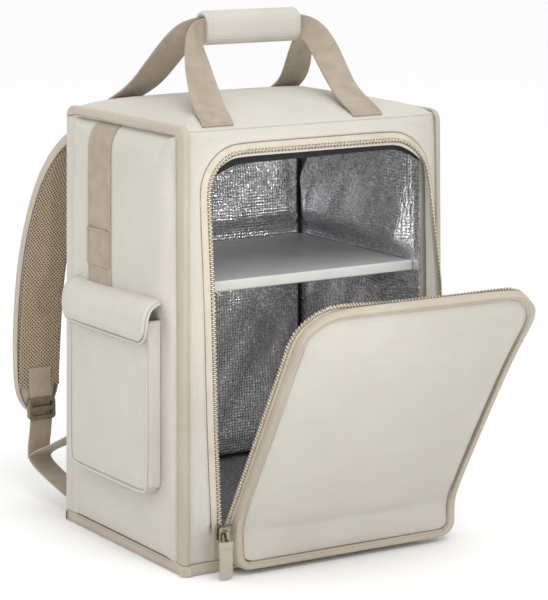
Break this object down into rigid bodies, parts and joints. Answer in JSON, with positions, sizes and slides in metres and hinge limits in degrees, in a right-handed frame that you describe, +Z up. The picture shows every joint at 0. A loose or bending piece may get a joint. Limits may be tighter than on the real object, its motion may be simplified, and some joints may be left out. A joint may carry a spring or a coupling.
{
  "type": "insulated delivery backpack",
  "caption": "Padded box backpack with a foil-lined compartment, a shelf, a zipped front flap standing open, a side pocket, a wrapped carry handle and shoulder straps.",
  "frame": {"origin": "centre of the flat underside that the bag stands on", "axes": "+Z up, -Y out of the front opening, +Y towards the wearer's back, -X the side with the pocket"},
  "size_m": [0.3578, 0.5551, 0.567],
  "materials": {
    "cream_fabric": "matte fine-woven coated polyester over padding",
    "beige_webbing": "matte woven binding tape and webbing",
    "foil_lining": "crinkled aluminised film with a fine dimpled pattern",
    "black_tape": "matte woven seam tape",
    "grey_board": "smooth satin covered board",
    "brown_mesh": "open spacer mesh",
    "olive_plastic": "moulded satin plastic",
    "zip_metal": "dulled antique brass"
  },
  "bodies": {
    "bag": {"base_panel": "cream_fabric", "back_panel": "cream_fabric", "top_panel": "cream_fabric", "front_frame": "cream_fabric", "side_panel_left": "cream_fabric", "side_panel_right": "cream_fabric", "edge_binding_left": "beige_webbing", "edge_binding_right": "beige_webbing", "base_binding": "beige_webbing", "lining": "foil_lining", "lining_tape_back": "black_tape", "lining_tape_front": "black_tape", "shelf_board": "grey_board", "flap_panel": "cream_fabric", "flap_binding": "beige_webbing", "flap_hinge": "cream_fabric", "zip_tape_body": "beige_webbing", "zip_chain_body": "zip_metal", "zip_tape_flap": "beige_webbing", "zip_chain_flap": "zip_metal", "zip_slider": "zip_metal", "pocket_pouch": "cream_fabric", "pocket_piping": "cream_fabric", "pocket_flap": "cream_fabric", "pocket_flap_binding": "cream_fabric", "side_webbing": "beige_webbing", "webbing_patch": "beige_webbing", "handle_webbing_front": "beige_webbing", "handle_webbing_back": "beige_webbing", "handle_wrap": "cream_fabric", "strap_pad_left": "cream_fabric", "strap_pad_right": "cream_fabric", "strap_mesh_left": "brown_mesh", "strap_mesh_right": "brown_mesh", "strap_binding_left": "beige_webbing", "strap_binding_right": "beige_webbing", "strap_tab_left": "beige_webbing", "strap_tab_right": "beige_webbing", "strap_buckle_left": "olive_plastic", "strap_buckle_right": "olive_plastic", "strap_webbing_left": "beige_webbing", "strap_webbing_right": "beige_webbing", "strap_anchor_left": "beige_webbing", "strap_anchor_right": "beige_webbing"},
    "zip_pull": {"pull_link": "zip_metal", "pull_tab": "beige_webbing"}
  },
  "joints": [
    {"name": "zip_pull_swing", "type": "hinge", "parent": "bag", "child": "zip_pull", "pos_m": [-0.1309, -0.1599, 0.0482], "axis": [-1, 0, 0], "range_deg": [0, 150]}
  ]
}
